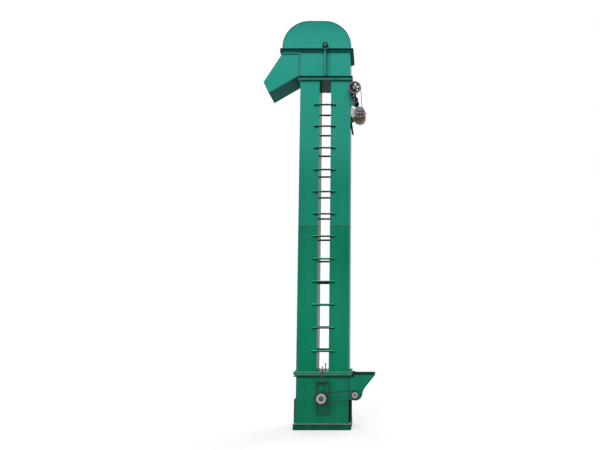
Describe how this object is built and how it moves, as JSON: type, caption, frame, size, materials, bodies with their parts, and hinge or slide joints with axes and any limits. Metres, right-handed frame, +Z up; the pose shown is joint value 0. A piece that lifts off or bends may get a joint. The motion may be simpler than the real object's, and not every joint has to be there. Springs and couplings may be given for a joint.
{
  "type": "bucket elevator",
  "caption": "Upright bucket elevator with a boot and inlet hopper, two sheet legs with rungs, a round hood, a discharge spout and a side motor drive.",
  "frame": {"origin": "middle of the base frame's underside, on the floor", "axes": "+Z up, +X towards the inlet hopper and the motor, +Y towards the chain drive on the back"},
  "size_m": [1.524, 0.734, 5.492],
  "materials": {
    "green_paint": "glossy green enamel on sheet steel",
    "cast_iron": "painted grey casting",
    "bare_steel": "turned steel",
    "pulley_steel": "machined pulley",
    "chain_steel": "dark oiled roller chain",
    "belt_rubber": "black drive belt",
    "conveyor_belting": "black bucket belt",
    "motor_paint": "grey motor enamel"
  },
  "bodies": {
    "root": {"base_frame": "green_paint", "boot_casing": "green_paint", "boot_cover_left": "green_paint", "boot_cover_right": "green_paint", "takeup_frame_front": "green_paint", "takeup_frame_back": "green_paint", "inlet_hopper": "green_paint", "legs_bottom_flange": "green_paint", "left_leg": "green_paint", "right_leg": "green_paint", "legs_top_flange": "green_paint", "head_casing": "green_paint", "hood": "green_paint", "discharge_spout": "green_paint", "motor_bracket": "green_paint", "front_rung_01": "green_paint", "front_rung_02": "green_paint", "front_rung_03": "green_paint", "front_rung_04": "green_paint", "front_rung_05": "green_paint", "front_rung_06": "green_paint", "front_rung_07": "green_paint", "front_rung_08": "green_paint", "front_rung_09": "green_paint", "front_rung_10": "green_paint", "front_rung_11": "green_paint", "front_rung_12": "green_paint", "back_rung_01": "green_paint", "back_rung_02": "green_paint", "back_rung_03": "green_paint", "back_rung_04": "green_paint", "back_rung_05": "green_paint", "back_rung_06": "green_paint", "back_rung_07": "green_paint", "back_rung_08": "green_paint", "back_rung_09": "green_paint", "back_rung_10": "green_paint", "back_rung_11": "green_paint", "back_rung_12": "green_paint", "tail_bearing_front": "cast_iron", "tail_bearing_back": "cast_iron", "feeder_bearing_front": "cast_iron", "feeder_bearing_back": "cast_iron", "head_bearing_front": "cast_iron", "head_bearing_back": "cast_iron", "countershaft_bracket": "cast_iron", "takeup_screw_front": "bare_steel", "takeup_screw_back": "bare_steel", "drive_chain": "chain_steel", "feeder_belt": "belt_rubber", "drive_belt": "belt_rubber", "bucket_belt": "conveyor_belting", "motor": "motor_paint"},
    "head_rotor": {"head_shaft": "bare_steel", "head_sprocket": "chain_steel"},
    "countershaft": {"drive_pulley": "pulley_steel"},
    "motor_rotor": {"motor_pulley": "pulley_steel"},
    "tail_rotor": {"tail_shaft": "bare_steel"},
    "feeder": {"feeder_rotor": "bare_steel"}
  },
  "joints": [
    {"name": "head_spin", "type": "hinge", "parent": "root", "child": "head_rotor", "pos_m": [0, 0, 5.107], "axis": [0, -1, 0], "continuous": true},
    {"name": "countershaft_spin", "type": "hinge", "parent": "root", "child": "countershaft", "pos_m": [0.401, 0, 4.497], "axis": [0, -1, 0], "continuous": true},
    {"name": "motor_spin", "type": "hinge", "parent": "root", "child": "motor_rotor", "pos_m": [0.467, 0, 4.195], "axis": [0, -1, 0], "continuous": true},
    {"name": "tail_spin", "type": "hinge", "parent": "root", "child": "tail_rotor", "pos_m": [0, 0, 0.41], "axis": [0, -1, 0], "continuous": true},
    {"name": "feeder_spin", "type": "hinge", "parent": "root", "child": "feeder", "pos_m": [0.425, 0, 0.455], "axis": [0, -1, 0], "continuous": true}
  ],
  "couplings": [
    {"joint": "countershaft_spin", "follows": "head_spin", "ratio": 3},
    {"joint": "motor_spin", "follows": "head_spin", "ratio": 7.6452},
    {"joint": "tail_spin", "follows": "head_spin", "ratio": 1},
    {"joint": "feeder_spin", "follows": "head_spin", "ratio": 1.5455}
  ]
}
